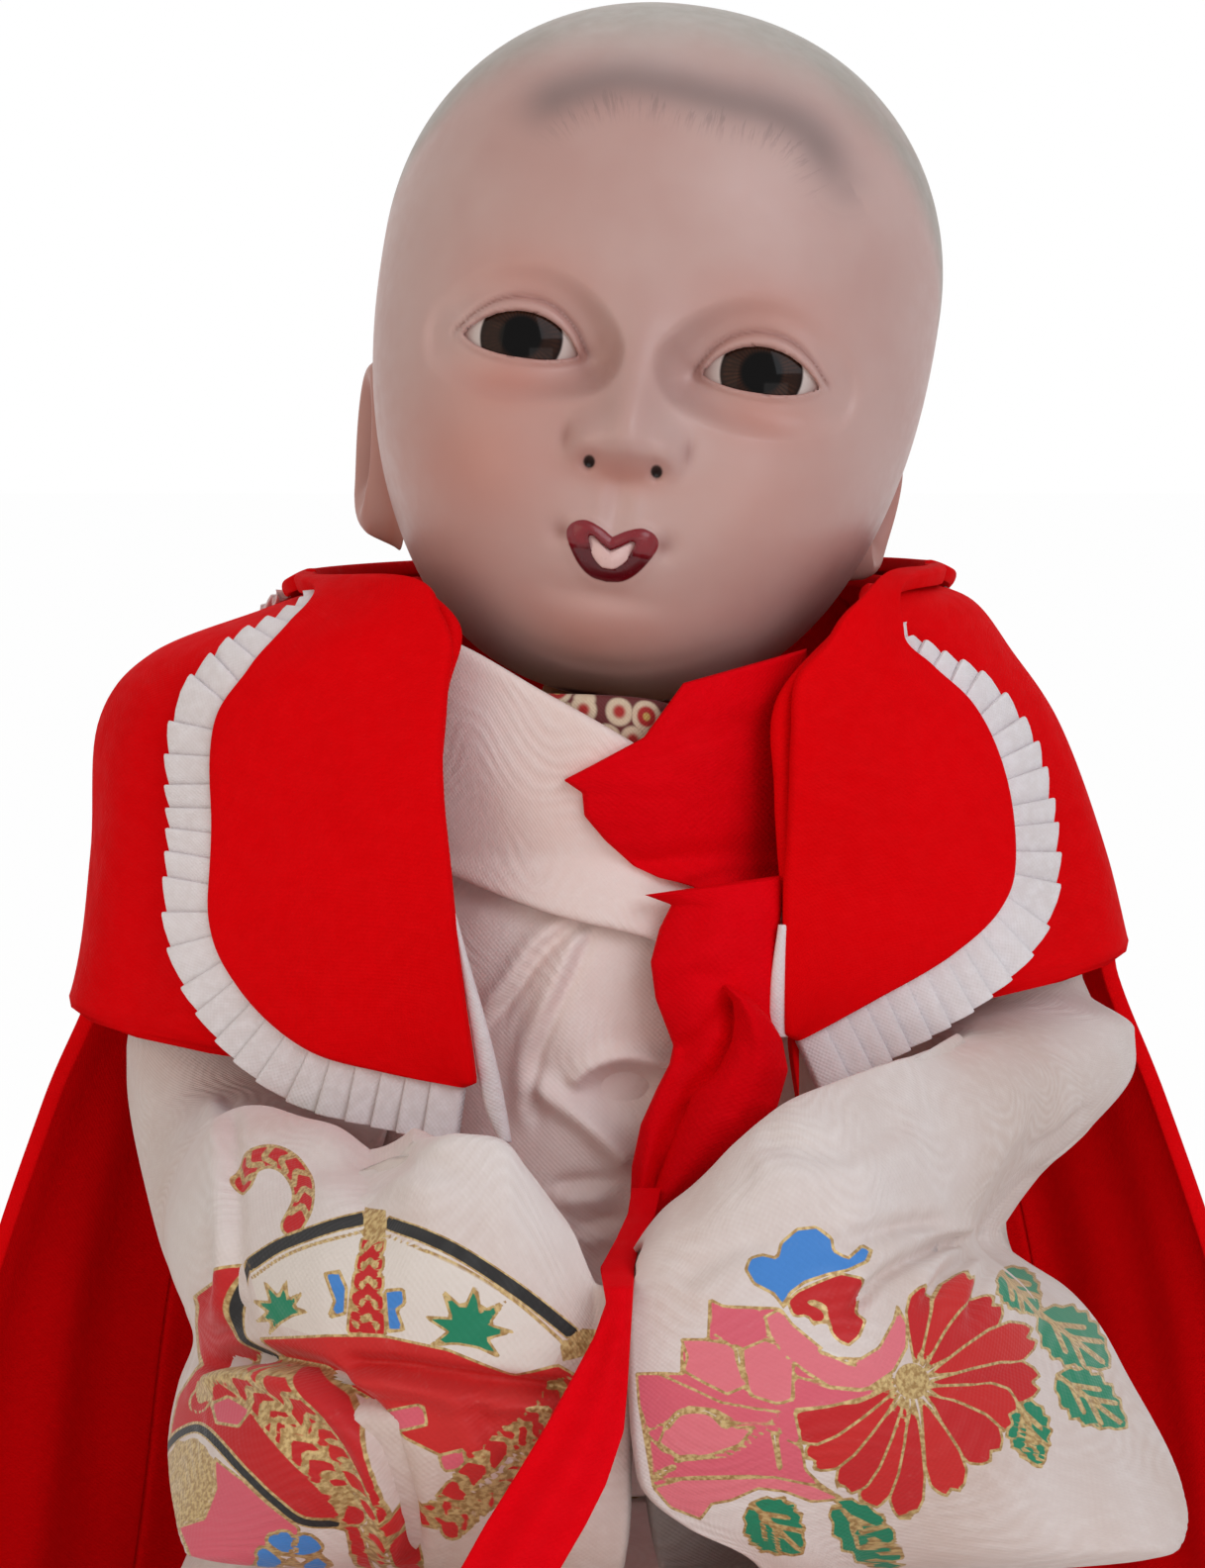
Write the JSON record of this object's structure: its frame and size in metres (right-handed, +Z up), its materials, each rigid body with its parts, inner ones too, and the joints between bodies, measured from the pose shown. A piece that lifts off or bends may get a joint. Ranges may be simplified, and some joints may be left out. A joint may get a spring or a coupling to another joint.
{
  "type": "ichimatsu doll",
  "caption": "Seated ichimatsu baby doll with a moulded head, inset glass eyes, padded red vest with frilled collar flaps, figured kimono and a bow at the chest.",
  "frame": {"origin": "on the floor under the doll's seat, at the middle of the body", "axes": "+Z up, the doll faces -Y, its own left is +X"},
  "size_m": [0.3104, 0.299, 0.3802],
  "materials": {
    "skin": "smooth shell-white lacquer",
    "eye_glass": "clear glass over dark brown",
    "tooth": "glossy pink-white",
    "turned_wood": "bare",
    "body_wood": "bare moulded composition",
    "crepe": "figured cream crepe with woven and dyed flowers",
    "under_silk": "patterned silk",
    "red_silk": "matt red crepe",
    "frill_cotton": "pleated white cotton",
    "cotton": "plain calico",
    "cord": "twisted cord"
  },
  "bodies": {
    "torso": {"neck_cup": "turned_wood", "torso_front": "body_wood", "torso_back": "body_wood", "kimono_bodice": "crepe", "under_collar": "under_silk", "kimono_collar_right": "crepe", "kimono_collar_left": "crepe", "vest_front_left": "red_silk", "vest_front_right": "red_silk", "vest_back": "red_silk", "vest_side_left": "red_silk", "vest_side_right": "red_silk", "vest_collar_right": "red_silk", "vest_collar_left": "red_silk", "vest_collar_back": "red_silk", "vest_frill_right": "frill_cotton", "vest_frill_left": "frill_cotton", "vest_frill_back": "frill_cotton", "chest_sash": "red_silk", "bow_knot": "red_silk", "bow_loop": "red_silk", "sash_tail": "red_silk", "waist_tie": "red_silk", "kimono_skirt": "crepe"},
    "neck": {"neck_plug": "turned_wood"},
    "head": {"head_face": "skin", "head_back": "skin", "left_eye": "eye_glass", "right_eye": "eye_glass", "mouth_plate": "tooth"},
    "left_arm": {"left_upper_arm": "cotton", "left_forearm": "skin", "left_elbow_tie": "red_silk", "left_sleeve": "crepe"},
    "right_arm": {"right_upper_arm": "cotton", "right_forearm": "skin", "right_elbow_tie": "red_silk", "right_sleeve": "crepe"},
    "left_leg": {"left_thigh": "cotton", "left_lower_leg": "skin", "left_knee_tie": "cord"},
    "right_leg": {"right_thigh": "cotton", "right_lower_leg": "skin", "right_knee_tie": "cord"}
  },
  "joints": [
    {"name": "head_tilt", "type": "hinge", "parent": "torso", "child": "neck", "pos_m": [-0.001, 0.002, 0.241], "axis": [0, 1, 0], "range_deg": [-9, 2]},
    {"name": "head_turn", "type": "hinge", "parent": "neck", "child": "head", "pos_m": [-0.001, 0.002, 0.241], "axis": [0.1521, 0.1045, 0.9828], "range_deg": [-25, 25]},
    {"name": "left_arm_swing", "type": "hinge", "parent": "torso", "child": "left_arm", "pos_m": [0.0521, 0, 0.2], "axis": [0, 0, 1], "range_deg": [0, 24]},
    {"name": "right_arm_swing", "type": "hinge", "parent": "torso", "child": "right_arm", "pos_m": [-0.0521, 0, 0.2], "axis": [0, 0, -1], "range_deg": [0, 24]},
    {"name": "left_leg_lift", "type": "hinge", "parent": "torso", "child": "left_leg", "pos_m": [0.028, -0.044, 0.036], "axis": [-1, 0, 0], "range_deg": [0, 8]},
    {"name": "right_leg_lift", "type": "hinge", "parent": "torso", "child": "right_leg", "pos_m": [-0.028, -0.044, 0.036], "axis": [-1, 0, 0], "range_deg": [0, 8]}
  ]
}
